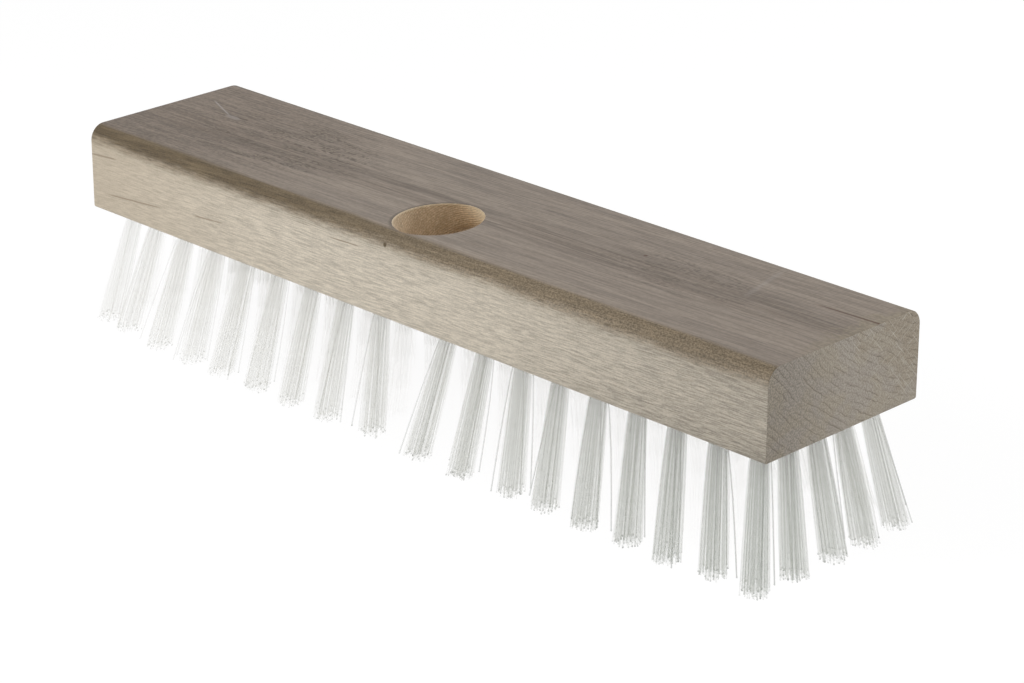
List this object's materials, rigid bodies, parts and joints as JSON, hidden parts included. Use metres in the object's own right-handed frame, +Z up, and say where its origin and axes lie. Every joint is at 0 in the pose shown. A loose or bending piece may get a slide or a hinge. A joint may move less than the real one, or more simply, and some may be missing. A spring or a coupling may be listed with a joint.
{
  "type": "floor brush",
  "caption": "Oblong wooden floor brush with an oblique handle socket in its top and rows of clear bristle tufts below.",
  "frame": {"origin": "middle of the footprint, on the plane of the trimmed bristle tips that the brush stands on", "axes": "+X along the block, +Y across it away from the side that the handle leans to, +Z up out of the socketed face"},
  "size_m": [0.281, 0.0698, 0.066],
  "materials": {
    "beech": "bare planed beech, greyed by handling",
    "clear_bristle": "translucent nylon filament"
  },
  "bodies": {
    "root": {"block": "beech", "tuft_column_01": "clear_bristle", "tuft_column_02": "clear_bristle", "tuft_column_03": "clear_bristle", "tuft_column_04": "clear_bristle", "tuft_column_05": "clear_bristle", "tuft_column_06": "clear_bristle", "tuft_column_07": "clear_bristle", "tuft_column_08": "clear_bristle", "tuft_column_09": "clear_bristle", "tuft_column_10": "clear_bristle", "tuft_column_11": "clear_bristle", "tuft_column_12": "clear_bristle", "tuft_column_13": "clear_bristle", "tuft_column_14": "clear_bristle", "tuft_column_15": "clear_bristle", "tuft_column_16": "clear_bristle", "tuft_column_17": "clear_bristle", "tuft_column_18": "clear_bristle", "tuft_column_19": "clear_bristle"}
  },
  "joints": []
}
